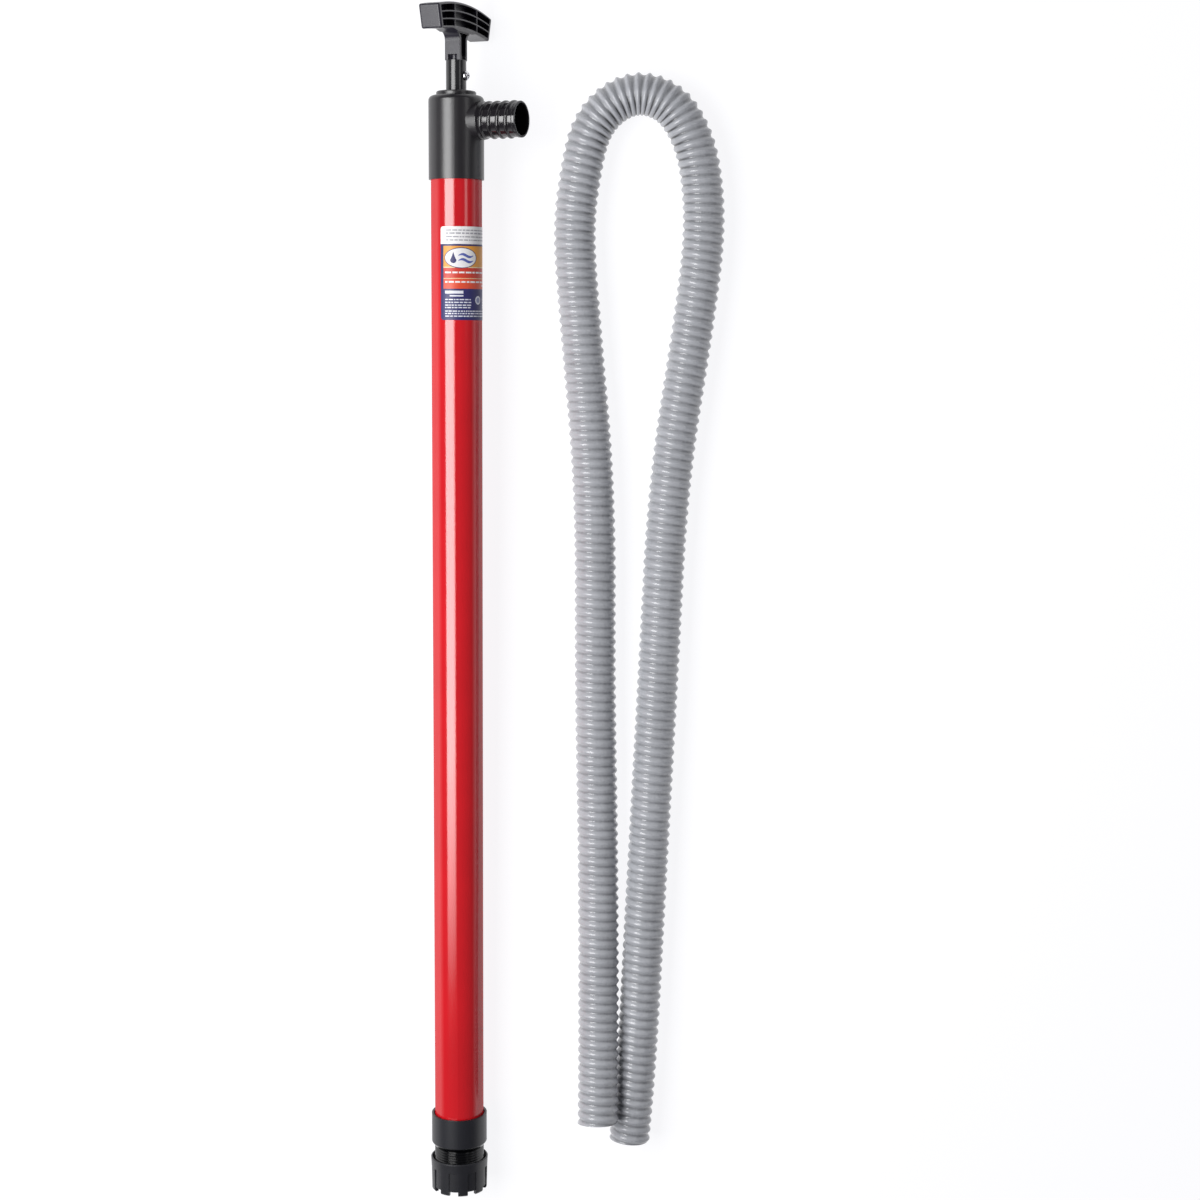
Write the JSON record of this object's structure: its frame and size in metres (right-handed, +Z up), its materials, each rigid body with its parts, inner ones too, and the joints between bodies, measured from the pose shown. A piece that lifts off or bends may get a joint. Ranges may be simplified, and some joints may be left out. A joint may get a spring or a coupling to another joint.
{
  "type": "auto siphon",
  "caption": "Hand-pumped siphon with a barbed side outlet, T-handle, strainer foot with a check valve, and a loose ribbed hose.",
  "frame": {"origin": "on the surface that the part lies on, under the middle of the pump's box (the hose left out)", "axes": "+Z up from the surface; the pump lies along X with its handle towards -X and its strainer towards +X, rising 1.42 degrees towards the handle; the outlet leans towards +Y, where the hose lies"},
  "size_m": [0.9826, 0.2434, 0.0952],
  "materials": {
    "barrel_red": "glossy extruded tube",
    "label_film": "printed film, satin",
    "moulded_black": "satin moulded, fine grain",
    "handle_black": "satin moulded",
    "rod_black": "extruded, semi-gloss",
    "foot_black": "matte moulded",
    "inner_white": "moulded natural plastic",
    "seal_rubber": "black rubber",
    "screw_steel": "bright steel",
    "hose_grey": "soft ribbed PVC, glossy"
  },
  "bodies": {
    "pump_body": {"barrel_tube": "barrel_red", "product_label": "label_film", "outlet_head": "moulded_black", "head_gasket": "seal_rubber", "gland_cap": "moulded_black", "rod_seal": "seal_rubber", "foot_adapter": "foot_black", "foot_valve_seat": "inner_white", "foot_valve_pin": "inner_white", "hose": "hose_grey"},
    "foot_valve": {"foot_valve_disc": "seal_rubber"},
    "screen": {"intake_screen": "inner_white"},
    "strainer": {"strainer_cap": "foot_black"},
    "piston_seal": {"piston_cup": "seal_rubber"},
    "rod": {"piston_head": "inner_white", "piston_nut": "inner_white", "rod_end_plug": "inner_white", "piston_rod": "rod_black", "handle": "handle_black", "handle_screw": "screw_steel"},
    "piston_valve": {"piston_valve_disc": "seal_rubber"}
  },
  "joints": [
    {"name": "piston_slide", "type": "slide", "parent": "pump_body", "child": "piston_seal", "axis": [-0.9997, 0, 0.0249], "range_m": [-0.008, 0.76]},
    {"name": "rod_turn", "type": "hinge", "parent": "piston_seal", "child": "rod", "pos_m": [-0.44899, -0.01659, 0.04677], "axis": [-0.9997, 0, 0.0249], "continuous": true},
    {"name": "piston_valve_lift", "type": "slide", "parent": "rod", "child": "piston_valve", "axis": [-0.9997, 0, 0.0249], "range_m": [0, 0.0035]},
    {"name": "foot_valve_lift", "type": "slide", "parent": "pump_body", "child": "foot_valve", "axis": [-0.9997, 0, 0.0249], "range_m": [0, 0.004]},
    {"name": "cap_travel", "type": "slide", "parent": "pump_body", "child": "screen", "axis": [0.9997, 0, -0.0249], "range_m": [-0.0067, 0.0133]},
    {"name": "cap_turn", "type": "hinge", "parent": "screen", "child": "strainer", "pos_m": [0.47573, -0.01659, 0.02378], "axis": [0.9997, 0, -0.0249], "range_deg": [-1080, 2160]}
  ],
  "couplings": [
    {"joint": "cap_travel", "follows": "cap_turn", "m_per_rad": 0.00035014}
  ]
}
